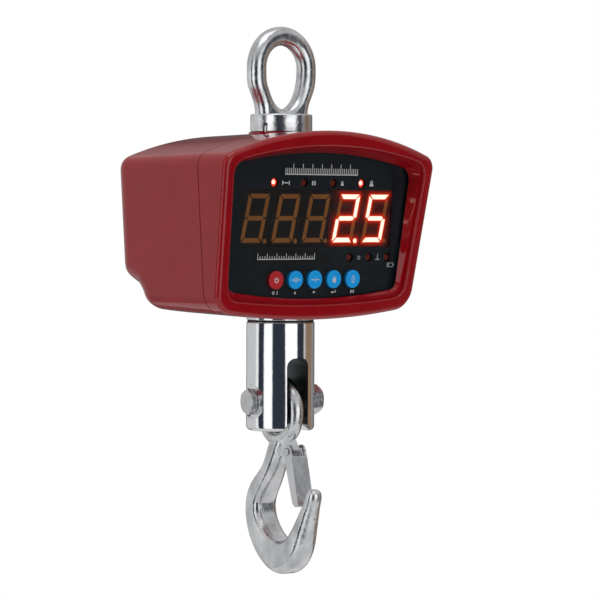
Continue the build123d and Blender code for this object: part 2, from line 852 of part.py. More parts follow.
def load_cell():
    """S-shaped steel beam that stretches under load, with a threaded hole at each end."""
    height = CELL_TOP - CELL_BASE
    middle = (CELL_TOP + CELL_BASE) / 2
    with BuildPart() as cell:
        with Locations((0, 0, middle)):
            Box(70, 34, height)
        chamfer(cell.edges().filter_by(Axis.Y), 2)
        # one slot from each side leaves the S shape
        with Locations((8, 0, middle + 17), (-8, 0, middle - 17)):
            Box(56, 40, 3.5, mode=Mode.SUBTRACT)
        with BuildSketch(Plane.XZ):
            with Locations((-8, middle), (8, middle)):
                Circle(8)
            with Locations((0, middle)):
                Rectangle(16, 5)
        extrude(amount=20, both=True, mode=Mode.SUBTRACT)
        with Locations((0, 0, CELL_TOP - 10)):
            Cylinder(M20_R, 20.2, mode=Mode.SUBTRACT)
        with Locations((0, 0, CELL_BASE + 10)):
            Cylinder(M20_R, 20.2, mode=Mode.SUBTRACT)
    return cell.part


CABLE_R = 1.8
CABLE_ROUTE = [(-35, 8, -128), (-47, 8, -128), (-60, 6, -136), (-66, -4, -146), (-67, -14, -147)]


def cell_cable():
    """Signal lead from the load cell to the main board."""
    points = [Vector(*p) for p in CABLE_ROUTE]
    radii = []
    for before, corner, after in zip(points, points[1:], points[2:]):
        run_in, run_out = corner - before, after - corner
        turn = radians(run_in.get_angle(run_out))
        radii.append(0.45 * min(run_in.length, run_out.length) / tan(turn / 2))
    with BuildPart() as cable:
        with BuildLine() as route:
            FilletPolyline(*points, radius=radii)
        with BuildSketch(Plane(origin=points[0], z_dir=points[1] - points[0])):
            Circle(CABLE_R)
        sweep(path=route.line)
    return cable.part


# ------------------------------------------------------------------ swivel
def swivel_cup():
    """Chromed cup that hangs from the load cell and holds the thrust bearing."""
    with BuildPart() as cup:
        with Locations((0, 0, (CUP_TOP + CUP_BASE) / 2)):
            Cylinder(CUP_R, CUP_TOP - CUP_BASE)
        chamfer(cup.edges().sort_by(Axis.Z)[-1], 2.5)
        with Locations((0, 0, CUP_BASE + CUP_FLANGE_H / 2)):
            Cylinder(FORK_R, CUP_FLANGE_H)
        fillet(cup.edges().sort_by(Axis.Z)[0], 0.6)
        with Locations((0, 0, CUP_TOP + 13)):
            Cylinder(M20_R - THREAD_GAP, 26)
        chamfer(cup.edges().sort_by(Axis.Z)[-1], 1.5)
        with Locations((0, 0, -199)):
            Cylinder(CUP_BORE_R, 26, mode=Mode.SUBTRACT)
        with Locations((0, 0, -218)):
            Cylinder(CAP_R, 12, mode=Mode.SUBTRACT)
    return cup.part


def cup_cap():
    """Screwed ring that closes the cup and carries the bearing."""
    with BuildPart() as cap:
        with Locations((0, 0, (CUP_BASE - 212) / 2)):
            Cylinder(CAP_R - THREAD_GAP, -212 - CUP_BASE)
            Cylinder(12.5, 12, mode=Mode.SUBTRACT)
        with BuildSketch(Plane.XY.offset(CUP_BASE - 0.1)):
            with PolarLocations(18.5, 4):
                Circle(1.6)
        extrude(amount=4.1, mode=Mode.SUBTRACT)
    return cap.part


def race(z_low, z_high, bore, outer):
    """Bearing race with a round groove for the balls."""
    with BuildPart() as ring:
        with Locations((0, 0, (z_low + z_high) / 2)):
            Cylinder(outer, z_high - z_low)
            Cylinder(bore, 10, mode=Mode.SUBTRACT)
        with Locations((0, 0, -205)):
            Torus(BALL_RING_R, BALL_R + 0.1, mode=Mode.SUBTRACT)
    return ring.part


def bearing_balls():
    """Steel balls of the thrust bearing."""
    group = []
    for index in range(BALL_COUNT):
        turn = 2 * pi * index / BALL_COUNT
        with BuildPart() as ball:
            with Locations((BALL_RING_R * cos(turn), BALL_RING_R * sin(turn), -205)):
                Sphere(BALL_R)
        group.append(ball.part)
    return Compound(children=group)


def bearing_cage():
    """Flat brass cage that spaces the balls."""
    with BuildPart() as cage:
        with Locations((0, 0, -205)):
            Cylinder(19.2, 1.6)
            Cylinder(11.2, 4, mode=Mode.SUBTRACT)
        with BuildSketch(Plane.XY.offset(-207)):
            with PolarLocations(BALL_RING_R, BALL_COUNT):
                Circle(BALL_R + 0.05)
        extrude(amount=4, mode=Mode.SUBTRACT)
    return cage.part


def shank_nut():
    """Lock nut that hangs the fork on the upper race."""
    return Pos(0, 0, -193.6) * hex_nut(30, 8.8, SHANK_R + THREAD_GAP)


def swivel_seal():
    """Black wiper ring between the cup and the fork."""
    with BuildPart() as seal:
        with Locations((0, 0, (CLEVIS_TOP + CUP_BASE - 0.3) / 2)):
            Cylinder(FORK_R - 0.7, CUP_BASE - 0.3 - CLEVIS_TOP)
            Cylinder(15, 4, mode=Mode.SUBTRACT)
    return seal.part


def fork():
    """Chromed round fork: shank, slotted cylinder and cross hole for the hook bolt."""
    with BuildPart() as body:
        with Locations((0, 0, (CLEVIS_TOP + CLEVIS_BASE) / 2)):
            Cylinder(FORK_R, CLEVIS_TOP - CLEVIS_BASE)
        chamfer(body.edges().sort_by(Axis.Z)[-1], 0.8)
        fillet(body.edges().sort_by(Axis.Z)[0], 3.5)
        with BuildSketch(Plane.XZ) as slot:
            with Locations((0, (SLOT_TOP + CLEVIS_BASE - 10) / 2)):
                Rectangle(SLOT_W, SLOT_TOP - CLEVIS_BASE + 10)
            fillet(slot.vertices().group_by(Axis.Y)[-1], 7)
        extrude(amount=40, both=True, mode=Mode.SUBTRACT)
        with BuildSketch(Plane.XZ):
            with BuildLine():
                flare = 3.5
                Polyline((-SLOT_W / 2 - flare, CLEVIS_BASE - 0.01), (SLOT_W / 2 + flare, CLEVIS_BASE - 0.01),
                         (0, CLEVIS_BASE + (SLOT_W / 2 + flare) * 1.5), close=True)
            make_face()
        extrude(amount=40, both=True, mode=Mode.SUBTRACT)
        with Locations((0, 0, PIN_Z)):
            Cylinder(PIN_HOLE_R, 80, rotation=(0, 90, 0), mode=Mode.SUBTRACT)
        with Locations((SPOT_X + 5, 0, PIN_Z), (-SPOT_X - 5, 0, PIN_Z)):
            Cylinder(14.2, 10, rotation=(0, 90, 0), mode=Mode.SUBTRACT)
        with Locations((0, 0, (CLEVIS_TOP - 188) / 2)):
            Cylinder(SHANK_R, -188 - CLEVIS_TOP)
        chamfer(body.edges().sort_by(Axis.Z)[-1], 1)
    return body.part


def fork_bolt():
    """Hex-head bolt that the hook hangs on."""
    head_h = 5.4
    under_head = -SPOT_X - WASHER_T
    tip = SPOT_X + NUT_H - 0.6
    head = Pos(under_head - head_h / 2, 0, PIN_Z) * Rot(0, 90, 0) * hex_nut(BOLT_AF, head_h, 0)
    with BuildPart() as bolt:
        with Locations(((under_head + tip) / 2, 0, PIN_Z)):
            Cylinder(PIN_R, tip - under_head, rotation=(0, 90, 0))
        chamfer(bolt.edges().sort_by(Axis.X)[-1], 1.2)
        add(head)
    return bolt.part


def fork_washer():
    """Spring washer, split, under the bolt's head."""
    with BuildPart() as washer:
        with Locations((-SPOT_X - WASHER_T / 2, 0, PIN_Z)):
            Cylinder(10.4, WASHER_T, rotation=(0, 90, 0))
            Cylinder(7.1, 6, rotation=(0, 90, 0), mode=Mode.SUBTRACT)
        with Locations((-SPOT_X - WASHER_T / 2, 8.8, PIN_Z)):
            Box(6, 8, 1.0, rotation=(25, 0, 0), mode=Mode.SUBTRACT)
    return washer.part


def fork_nut():
    """Thick hex nut on the bolt's end."""
    nut = hex_nut(NUT_AF, NUT_H, PIN_R + THREAD_GAP)
    return Pos(SPOT_X + NUT_H / 2, 0, PIN_Z) * Rot(0, 90, 0) * nut


# ------------------------------------------------------------------ hook and latch
# Down the hook's bar: forward reach, height, heading of the bar, depth in plane, width across, corner radius.
# Heading 0 is straight down, 90 is forward, 180 is straight up.
HOOK_STATIONS = [
    (0.5, -316.0, 0, 19.5, 14.5, 6.8),
    (-2.4, -324.5, -12, 18.6, 17.0, 8.0),
    (-8.0, -337.0, -33, 16.6, 19.0, 7.6),
    (-16.6, -348.5, -37, 16.6, 21.0, 6.5),
    (-25.2, -359.0, -27, 18.2, 22.0, 6.0),
    (-28.8, -371.0, 0, 18.8, 22.4, 6.0),
    (-25.6, -384.5, 25, 20.6, 22.8, 6.4),
    (-17.0, -396.3, 47, 23.0, 23.4, 7.0),
    (-5.5, -404.6, 68, 25.0, 23.8, 7.6),
    (7.3, -408.6, 90, 26.2, 23.8, 8.0),
    (21.0, -404.8, 119, 25.2, 22.6, 8.4),
    (31.4, -394.6, 148, 22.2, 20.8, 8.8),
    (37.8, -382.8, 155, 18.8, 18.0, 8.4),
    (43.2, -371.4, 155, 15.4, 15.4, 7.4),
    (47.8, -361.2, 156, 12.8, 13.0, 6.2),
    (50.4, -354.6, 160, 11.2, 11.6, 5.4),
    (51.4, -351.4, 165, 6.8, 7.2, 3.2),
]


def hook():
    """Forged hook: eye, curved bar that grows towards the bowl and tapers to the tip, latch lug."""
    with BuildPart() as body:
        for reach, height, heading, depth, width, corner in HOOK_STATIONS:
            a = radians(heading)
            along = Vector(0, -sin(a), -cos(a))
            with BuildSketch(Plane(origin=(0, -reach, height), x_dir=(1, 0, 0), z_dir=along)):
                RectangleRounded(width, depth, corner)
        loft()
        with Locations((0, 0, HOOK_EYE_Z)):
            Torus(HOOK_EYE_HOLE_R + HOOK_EYE_BAR_R, HOOK_EYE_BAR_R, rotation=(0, 90, 0))
        with BuildSketch(Plane.YZ.offset(-4.6)) as lug:
            with Locations(LATCH_PIVOT):
                Circle(5.2)
            with Locations((1, -319)):
                Circle(8)
            with Locations((-14, -313)):
                Circle(5)
            make_hull()
        extrude(amount=6.4)
        with Locations((-1.4, *LATCH_PIVOT)):
            Cylinder(LATCH_PIN_R + 0.05, 20, rotation=(0, 90, 0), mode=Mode.SUBTRACT)
    return body.part


def latch_pin():
    """Rivet through the latch's cheeks and the hook's lug."""
    with BuildPart() as pin:
        with Locations((0, *LATCH_PIVOT)):
            Cylinder(LATCH_PIN_R, 15.4, rotation=(0, 90, 0))
        with Locations((8.5, *LATCH_PIVOT), (-8.5, *LATCH_PIVOT)):
            Cylinder(3.3, 1.7, rotation=(0, 90, 0))
        fillet([pin.edges().sort_by(Axis.X)[0], pin.edges().sort_by(Axis.X)[-1]], 1.2)
    return pin.part


def latch():
    """Pressed steel safety latch: two cheeks on the rivet and a web that closes the hook's throat."""
    with BuildPart() as gate:
        with BuildSketch(Plane.YZ) as side:
            with Locations(LATCH_PIVOT):
                Circle(5.3)
            with BuildLine():
                Polyline((-16.4, -325), (-22.6, -342), (-29.6, -363), (-33.5, -366), (-38.6, -365),
                         (-28.6, -327), (-25.5, -319.8), close=True)
            make_face()
            fillet(side.vertices().filter_by_position(Axis.Y, -367, -362), 1.6)
        extrude(amount=7.4, both=True)
        # the folded sheet is open inside and above the web
        with BuildSketch(Plane.YZ):
            with BuildLine():
                Polyline((-10, -310), (-18, -372), (-37.0, -372), (-37.0, -364.6), (-27.0, -327), (-34, -324),
                         (-34, -310), close=True)
            make_face()
        extrude(amount=5.9, both=True, mode=Mode.SUBTRACT)
        with Locations((0, *LATCH_PIVOT)):
            Cylinder(LATCH_PIN_R + 0.06, 30, rotation=(0, 90, 0), mode=Mode.SUBTRACT)
    return gate.part


def latch_spring():
    """Torsion spring on the rivet with one leg back to the hook's neck and one down the web."""
    y, z = LATCH_PIVOT
    turns = SPRING_TURNS + 0.25
    start = Vector(SPRING_X, y, z + SPRING_R)
    with BuildPart() as spring:
        with BuildLine() as coil:
            Helix(
                pitch=SPRING_PITCH, height=SPRING_PITCH * turns, radius=SPRING_R,
                center=(SPRING_X, y, z), direction=(1, 0, 0),
            )
        with BuildSketch(Plane(origin=start, z_dir=coil.line % 0)):
            Circle(SPRING_WIRE_R)
        sweep(path=coil.line)
    ends = [coil.line @ 0, coil.line @ 1]
    tips = [Vector(ends[0].X, -11.0, ends[0].Z), Vector(ends[1].X, -30.3, -345)]
    whole = spring.part
    for end, tip in zip(ends, tips):
        leg = tip - end
        middle = Plane(origin=end, z_dir=leg) * Pos(0, 0, leg.length / 2)
        whole += middle * Cylinder(SPRING_WIRE_R, leg.length)
        whole += Pos(end) * Sphere(SPRING_WIRE_R)
    return whole


# ------------------------------------------------------------------ output
KEYS = ("key_power", "key_zero", "key_tare", "key_hold", "key_shift")


def save(piece, name):
    """Label a finished piece and write its file."""
    piece.label = name
    export_step(piece, f"parts/{name}.step")


def save_turned(piece, name):
    """As save, for a piece below the swivel, at the swivel's rest turn."""
    save(Rot(0, 0, REST_TURN) * piece, name)


def main():
    os.makedirs("parts", exist_ok=True)
    save(front_shell(), "front_shell")
    save(rear_shell(), "rear_shell")
    save(shell_gasket(), "shell_gasket")
    save(shell_screws(), "shell_screws")
    save(screw_plugs(), "screw_plugs")
    save(display_window(), "display_window")
    save(window_gasket(), "window_gasket")
    save(window_retainer(), "window_retainer")
    save(retainer_screws(), "retainer_screws")
    for index in range(DIGIT_COUNT):
        save(digit_module(index), f"digit_module_{index + 1}")
    save(light_bars(True), "lit_bars")
    save(light_bars(False), "dark_bars")
    save(lamps(True), "lit_lamps")
    save(lamps(False), "dark_lamps")
    save(infrared_receiver(), "infrared_receiver")
    save(display_board(), "display_board")
    save(board_standoffs(), "board_standoffs")
    save(tact_switches(), "tact_switches")
    for index, name in enumerate(KEYS):
        save(push_key(index), name)
    save(main_board(), "main_board")
    save(main_board_spacers(), "main_board_spacers")
    save(battery_pack(), "battery_pack")
    save(battery_tray(), "battery_tray")
    save(battery_cover(), "battery_cover")
    save(cover_gasket(), "cover_gasket")
    save(cover_screws(), "cover_screws")
    save(charging_socket(), "charging_socket")
    save(socket_nut(), "socket_nut")
    save(eye_bolt(), "eye_bolt")
    save(eye_key(), "eye_key")
    save(eye_seal(), "eye_seal")
    save(eye_washer(), "eye_washer")
    save(Pos(0, 0, -80.75) * hex_nut(30, 9.5, M20_R), "eye_lock_nut")
    save(load_cell(), "load_cell")
    save(cell_cable(), "cell_cable")
    save(Pos(0, 0, (CELL_BASE + CUP_TOP) / 2) * hex_nut(30, CELL_BASE - CUP_TOP, M20_R), "cup_lock_nut")
    save(swivel_cup(), "swivel_cup")
    save(cup_cap(), "cup_cap")
    save(race(-212, -207, 10.8, 20), "lower_race")
    save(bearing_balls(), "bearing_balls")
    save(bearing_cage(), "bearing_cage")
    save_turned(race(-203, -198, SHANK_R + THREAD_GAP, 19.5), "upper_race")
    save_turned(shank_nut(), "shank_nut")
    save_turned(swivel_seal(), "swivel_seal")
    save_turned(fork(), "fork")
    save_turned(fork_bolt(), "fork_bolt")
    save_turned(fork_washer(), "fork_washer")
    save_turned(fork_nut(), "fork_nut")
    save_turned(hook(), "hook")
    save_turned(latch_pin(), "latch_pin")
    save_turned(latch_spring(), "latch_spring")
    save_turned(latch(), "latch")


main()
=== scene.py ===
"""Crane scale: finishes, printed marks, glow, latch spring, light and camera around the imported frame."""
import math

import bmesh
import bpy
from mathutils import Matrix, Vector


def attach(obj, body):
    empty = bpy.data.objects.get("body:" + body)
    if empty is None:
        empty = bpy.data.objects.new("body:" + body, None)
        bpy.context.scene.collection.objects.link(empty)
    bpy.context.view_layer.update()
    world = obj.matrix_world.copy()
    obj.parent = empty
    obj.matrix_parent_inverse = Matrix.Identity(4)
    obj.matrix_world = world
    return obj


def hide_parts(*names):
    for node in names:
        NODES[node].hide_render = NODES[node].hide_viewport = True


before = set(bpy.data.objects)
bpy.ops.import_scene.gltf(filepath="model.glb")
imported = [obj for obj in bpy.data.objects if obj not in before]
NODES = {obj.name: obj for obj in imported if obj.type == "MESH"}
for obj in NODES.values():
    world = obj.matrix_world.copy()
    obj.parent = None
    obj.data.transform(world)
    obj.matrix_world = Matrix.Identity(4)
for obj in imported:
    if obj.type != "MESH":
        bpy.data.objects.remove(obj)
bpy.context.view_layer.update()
MM = 0.001

# ---------------------------------------------------------------- the window plane
# it leans by TILT; u runs right, v up and depth outward, all in millimetres from WINDOW_ORIGIN
TILT = math.radians(4.5)
OUT = Vector((0, -math.cos(TILT), -math.sin(TILT)))
UP = Vector((0, -math.sin(TILT), math.cos(TILT)))
WINDOW_ORIGIN = Vector((0, -44.4, -148.0))
GLASS_FRONT = -0.8
GLASS_BACK = -3.8
MODULE_FACE = -4.4
KEY_TOP = -0.2


def on_window(u, v, depth=0.0):
    """Row-frame point, in metres, of window-plane coordinates in millimetres."""
    return (WINDOW_ORIGIN + Vector((u, 0, 0)) + UP * v + OUT * depth) * MM


def add_object(name, data):
    piece = bpy.data.objects.new(name, data)
    bpy.context.scene.collection.objects.link(piece)
    return piece


def finished_mesh(name, bm, material):
    """Turns a bmesh into a mesh with one material, and frees it."""
    mesh = bpy.data.meshes.new(name)
    bm.to_mesh(mesh)
    bm.free()
    mesh.materials.append(material)
    return mesh


# ---------------------------------------------------------------- materials
NOISE_ROUGHNESS = 0.55
FINE_DETAIL = 6
WEAR_SCALE = 2.3
COAT_ROUGHNESS = 0.03


def new_material(name):
    """Material with its node tree and its Principled shader."""
    mat = bpy.data.materials.new(name)
    mat.use_nodes = True
    shader = mat.node_tree.nodes["Principled BSDF"]
    return mat, mat.node_tree, shader


def noise(tree, scale, detail=4.0, stretch=(1, 1, 1)):
    """Noise in the object's own metres."""
    coord = tree.nodes.new("ShaderNodeTexCoord")
    place = tree.nodes.new("ShaderNodeMapping")
    place.inputs["Scale"].default_value = stretch
    tex = tree.nodes.new("ShaderNodeTexNoise")
    tex.inputs["Scale"].default_value = scale
    tex.inputs["Detail"].default_value = detail
    tex.inputs["Roughness"].default_value = NOISE_ROUGHNESS
    tree.links.new(coord.outputs["Object"], place.inputs["Vector"])
    tree.links.new(place.outputs["Vector"], tex.inputs["Vector"])
    return tex.outputs["Fac"]


def span(tree, value, low, high, start=0.3, end=0.7):
    """Maps start..end onto low..high; the defaults suit a noise value."""
    node = tree.nodes.new("ShaderNodeMapRange")
    node.inputs["From Min"].default_value = start
    node.inputs["From Max"].default_value = end
    node.inputs["To Min"].default_value = low
    node.inputs["To Max"].default_value = high
    tree.links.new(value, node.inputs["Value"])
    return node.outputs["Result"]


def bump(tree, height, distance, normal=None):
    """Bump of a height in metres, on top of another normal if one is given."""
    node = tree.nodes.new("ShaderNodeBump")
    node.inputs["Strength"].default_value = 1.0
    node.inputs["Distance"].default_value = distance
    tree.links.new(height, node.inputs["Height"])
    if normal:
        tree.links.new(normal, node.inputs["Normal"])
    return node.outputs["Normal"]


def blend_colours(tree, factor, low, high):
    """Blend from low to high; each of them is a colour or a socket."""
    node = tree.nodes.new("ShaderNodeMix")
    node.data_type = "RGBA"
    for side, value in (("A", low), ("B", high)):
        if isinstance(value, tuple):
            node.inputs[side].default_value = (*value, 1)
        else:
            tree.links.new(value, node.inputs[side])
    tree.links.new(factor, node.inputs["Factor"])
    return node.outputs["Result"]


def finish(name, dark, light, rough, tone, grain, fine=None, metallic=0.0, coat=0.0, stretch=(1, 1, 1)):
    """A solid finish: colour between dark and light and a range of roughness, both varying at the scale `tone`,
    and one or two bumps, each given as a scale and a height in metres."""
    mat, tree, shader = new_material(name)
    shader.inputs["Metallic"].default_value = metallic
    patches = span(tree, noise(tree, tone, stretch=stretch), 0, 1)
    tree.links.new(blend_colours(tree, patches, dark, light), shader.inputs["Base Color"])
    wear = noise(tree, tone * WEAR_SCALE, detail=FINE_DETAIL, stretch=stretch)
    tree.links.new(span(tree, wear, *rough), shader.inputs["Roughness"])
    normal = bump(tree, noise(tree, grain[0], stretch=stretch), grain[1])
    if fine:
        normal = bump(tree, noise(tree, fine[0], detail=FINE_DETAIL, stretch=stretch), fine[1], normal)
    tree.links.new(normal, shader.inputs["Normal"])
    shader.inputs["Coat Weight"].default_value = coat
    shader.inputs["Coat Roughness"].default_value = COAT_ROUGHNESS
    return mat


RED_PAINT = finish("red_paint", (0.315, 0.0045, 0.0085), (0.365, 0.0060, 0.0105), rough=(0.45, 0.6), tone=40,
                   grain=(260, 0.00004), fine=(1400, 0.000006), coat=1.0)
# on the paint, only the clear coat reflects
RED_PAINT.node_tree.nodes["Principled BSDF"].inputs["Specular IOR Level"].default_value = 0.0
ZINC = finish("zinc_forging", (0.48, 0.49, 0.51), (0.86, 0.87, 0.88), rough=(0.11, 0.27), tone=55,
              grain=(200, 0.00022), fine=(900, 0.00009), metallic=1.0)
CHROME_LOOK = {
    "dark": (0.80, 0.81, 0.83), "light": (0.86, 0.87, 0.88), "rough": (0.035, 0.09), "tone": 60,
    "grain": (110, 0.00005), "fine": (900, 0.000008), "metallic": 1.0,
}
CHROME = finish("chrome", **CHROME_LOOK)
FORK_CHROME = finish("fork_chrome", **CHROME_LOOK)
PLATED = finish("plated_steel", (0.56, 0.57, 0.58), (0.72, 0.73, 0.74), rough=(0.18, 0.34), tone=120,
                grain=(300, 0.00003), fine=(1800, 0.000006), metallic=1.0)
LATCH_STEEL = finish("latch_steel", (0.62, 0.63, 0.65), (0.76, 0.77, 0.79), rough=(0.20, 0.34), tone=90,
                     grain=(300, 0.00004), fine=(1800, 0.000012), metallic=1.0, stretch=(1, 1, 0.35))
CELL_STEEL = finish("cell_steel", (0.36, 0.37, 0.38), (0.48, 0.49, 0.50), rough=(0.25, 0.42), tone=60,
                    grain=(800, 0.00003), metallic=1.0, stretch=(1, 8, 1))
BEARING = finish("bearing_steel", (0.62, 0.63, 0.65), (0.72, 0.73, 0.75), rough=(0.10, 0.18), tone=80,
                 grain=(900, 0.00001), metallic=1.0)
BRASS = finish("brass", (0.50, 0.34, 0.10), (0.62, 0.44, 0.16), rough=(0.20, 0.34), tone=80,
               grain=(900, 0.00002), metallic=1.0)
RUBBER = finish("black_rubber", (0.010, 0.010, 0.010), (0.022, 0.022, 0.022), rough=(0.55, 0.75), tone=120,
                grain=(900, 0.00004))
MODULE = finish("module_black", (0.008, 0.007, 0.006), (0.014, 0.011, 0.009), rough=(0.55, 0.7), tone=80,
                grain=(1200, 0.00002))
UNLIT = finish("unlit_bar", (0.40, 0.150, 0.030), (0.48, 0.185, 0.040), rough=(0.45, 0.6), tone=200,
               grain=(1500, 0.00002))
UNLIT_LAMP = finish("unlit_lamp", (0.200, 0.024, 0.014), (0.260, 0.034, 0.018), rough=(0.2, 0.3), tone=200,
                    grain=(900, 0.00001))
BOARD = finish("board_green", (0.010, 0.060, 0.028), (0.018, 0.085, 0.040), rough=(0.3, 0.45), tone=200,
               grain=(1500, 0.00002))
BATTERY = finish("battery_grey", (0.030, 0.032, 0.035), (0.050, 0.052, 0.055), rough=(0.4, 0.6), tone=80,
                 grain=(1200, 0.00004))
BLACK_PLASTIC = finish("black_plastic", (0.008, 0.008, 0.009), (0.016, 0.016, 0.017), rough=(0.25, 0.4),
                       tone=100, grain=(1500, 0.00002))
KEY_RED = finish("key_red", (0.50, 0.014, 0.020), (0.58, 0.018, 0.026), rough=(0.28, 0.38), tone=150,
                 grain=(1500, 0.00001), coat=0.4)
KEY_BLUE = finish("key_blue", (0.0, 0.38, 0.94), (0.0, 0.42, 1.0), rough=(0.28, 0.38), tone=150,
                  grain=(1500, 0.00001), coat=0.4)
CABLE = finish("cable_grey", (0.03, 0.03, 0.03), (0.05, 0.05, 0.05), rough=(0.5, 0.65), tone=100,
               grain=(900, 0.00003))
PRINT_DARK = finish("panel_print", (0.0040, 0.0098, 0.0145), (0.0055, 0.0125, 0.0185), rough=(0.30, 0.42),
                    tone=12, grain=(900, 0.000006))
PRINT_PATCH = finish("panel_patch", (0.0022, 0.0022, 0.0022), (0.0036, 0.0034, 0.0032), rough=(0.4, 0.5),
                     tone=60, grain=(900, 0.000006))
INK_WHITE = finish("ink_white", (0.66, 0.67, 0.68), (0.76, 0.77, 0.78), rough=(0.4, 0.55), tone=300,
                   grain=(2000, 0.00001))
INK_GREY = finish("ink_grey", (0.34, 0.35, 0.36), (0.44, 0.45, 0.46), rough=(0.4, 0.55), tone=300,
                  grain=(2000, 0.00001))

# the fork's slot in millimetres, and the fork's turn about the load line at rest in degrees
FORK_TURN = -7.0
SLOT_HALF, SLOT_TOP, FORK_INNER_R = 10.06, -248.3, 27.15
# painted shade: the dark colour painted on the slot's walls, in place of the shade between them
SLOT_SHADE_COLOUR = (0.085, 0.095, 0.10)
SLOT_DULLNESS = 0.3


def shade_and_dull_slot(tree, shader):
    """Painted shade in the fork's slot: its walls are painted dark, and are also made duller."""
    coord = tree.nodes.new("ShaderNodeTexCoord")
    turn = tree.nodes.new("ShaderNodeMapping")
    turn.inputs["Rotation"].default_value = (0, 0, math.radians(-FORK_TURN))
    split = tree.nodes.new("ShaderNodeSeparateXYZ")
    tree.links.new(coord.outputs["Object"], turn.inputs["Vector"])
    tree.links.new(turn.outputs["Vector"], split.inputs["Vector"])

    def math_node(operation, first, second):
        """One sum on a socket and either a number or another socket."""
        node = tree.nodes.new("ShaderNodeMath")
        node.operation = operation
        tree.links.new(first, node.inputs[0])
        if isinstance(second, float):
            node.inputs[1].default_value = second
        else:
            tree.links.new(second, node.inputs[1])
        return node.outputs["Value"]

    across = math_node("ABSOLUTE", split.outputs["X"], 0.0)
    near = math_node("LESS_THAN", across, SLOT_HALF * MM)
    below = math_node("LESS_THAN", split.outputs["Z"], SLOT_TOP * MM)
    squares = [math_node("MULTIPLY", split.outputs[axis], split.outputs[axis]) for axis in "XY"]
    inner = math_node("LESS_THAN", math_node("ADD", *squares), (FORK_INNER_R * MM) ** 2)
    inside = math_node("MULTIPLY", math_node("MULTIPLY", near, below), inner)
    polish = shader.inputs["Base Color"].links[0].from_socket
    # painted shade: inside the slot the chrome's colour gives way to the dark slot colour
    tree.links.new(blend_colours(tree, inside, polish, SLOT_SHADE_COLOUR), shader.inputs["Base Color"])
    rough = math_node("MULTIPLY", inside, SLOT_DULLNESS)
    rough = math_node("ADD", shader.inputs["Roughness"].links[0].from_socket, rough)
    tree.links.new(rough, shader.inputs["Roughness"])


shade_and_dull_slot(FORK_CHROME.node_tree, FORK_CHROME.node_tree.nodes["Principled BSDF"])


def glass_material():
    """Smoke-tinted window: a dark coat of gloss that lets the lights through."""
    mat, tree, shader = new_material("smoke_window")
    shader.inputs["Base Color"].default_value = (0.003, 0.004, 0.005, 1)
    tree.links.new(span(tree, noise(tree, 25, detail=5), 0.05, 0.09), shader.inputs["Roughness"])
    shader.inputs["Alpha"].default_value = 0.16
    shader.inputs["IOR"].default_value = 1.45
    return mat


def glow_material(name, colour, strength):
    """Red plastic lit from inside."""
    mat, tree, shader = new_material(name)
    shader.inputs["Base Color"].default_value = (0.3, 0.02, 0.01, 1)
    tree.links.new(span(tree, noise(tree, 900), 0.3, 0.4), shader.inputs["Roughness"])
    shader.inputs["Emission Color"].default_value = (*colour, 1)
    shader.inputs["Emission Strength"].default_value = strength
    return mat


GLASS = glass_material()
LIT = glow_material("lit_bar", (1.0, 0.60, 0.46), 2.6)
LIT_LAMP = glow_material("lit_lamp", (1.0, 0.05, 0.02), 1.6)
LAMP_CORE = glow_material("lamp_core", (1.0, 0.62, 0.5), 2.6)

FINISHES = {
    RED_PAINT: ["front_shell", "rear_shell", "battery_cover"],
    RUBBER: ["shell_gasket", "screw_plugs", "window_gasket", "cover_gasket", "eye_seal", "swivel_seal"],
    PLATED: ["shell_screws", "retainer_screws", "window_retainer", "battery_tray", "cover_screws",
             "board_standoffs", "socket_nut", "eye_key", "eye_washer", "eye_lock_nut", "cup_lock_nut",
             "shank_nut", "fork_bolt", "fork_washer", "fork_nut", "latch_pin"],
    LATCH_STEEL: ["latch", "latch_spring"],
    GLASS: ["display_window"],
    MODULE: [f"digit_module_{i}" for i in range(1, 6)] + ["infrared_receiver"],
    LIT: ["lit_bars"],
    LIT_LAMP: ["lit_lamps"],
    UNLIT: ["dark_bars"],
    UNLIT_LAMP: ["dark_lamps"],
    BOARD: ["display_board", "main_board"],
    BLACK_PLASTIC: ["tact_switches", "main_board_spacers", "charging_socket"],
    BATTERY: ["battery_pack"],
    ZINC: ["eye_bolt", "hook"],
    CELL_STEEL: ["load_cell"],
    CABLE: ["cell_cable"],
    CHROME: ["swivel_cup"],
    FORK_CHROME: ["fork"],
    BEARING: ["cup_cap", "lower_race", "upper_race", "bearing_balls"],
    BRASS: ["bearing_cage"],
    KEY_RED: ["key_power"],
    KEY_BLUE: ["key_zero", "key_tare", "key_hold", "key_shift"],
}
for material, names in FINISHES.items():
    for name in names:
        mesh = NODES[name].data
        mesh.materials.clear()
        mesh.materials.append(material)


# ---------------------------------------------------------------- flat marks
WELD = 1e-7


def rect(u, v, w, h):
    """Rectangle by its centre."""
    return [[(u - w / 2, v - h / 2), (u + w / 2, v - h / 2), (u + w / 2, v + h / 2), (u - w / 2, v + h / 2)]]


def polar(u, v, radius, angle):
    """Point at a radius and an angle, in radians, from (u, v)."""
    return (u + radius * math.cos(angle), v + radius * math.sin(angle))


def ring(u, v, inner, outer, start=0.0, end=360.0, steps=32):
    """Ring, or part of one, as a strip of quads; angles in degrees from +u."""
    quads = []
    for i in range(steps):
        a = math.radians(start + (end - start) * i / steps)
        b = math.radians(start + (end - start) * (i + 1) / steps)
        inner_a, outer_a = polar(u, v, inner, a), polar(u, v, outer, a)
        inner_b, outer_b = polar(u, v, inner, b), polar(u, v, outer, b)
        quads.append([inner_a, outer_a, outer_b, inner_b])
    return quads


def disc(u, v, radius, steps=24):
    return [[polar(u, v, radius, 2 * math.pi * i / steps) for i in range(steps)]]


def arrow_head(u, v, size, turn):
    """Solid triangle pointing along `turn` degrees."""
    points = []
    for angle, reach in ((0, 1.0), (130, 0.9), (-130, 0.9)):
        points.append(polar(u, v, size * reach, math.radians(angle + turn)))
    return [points]


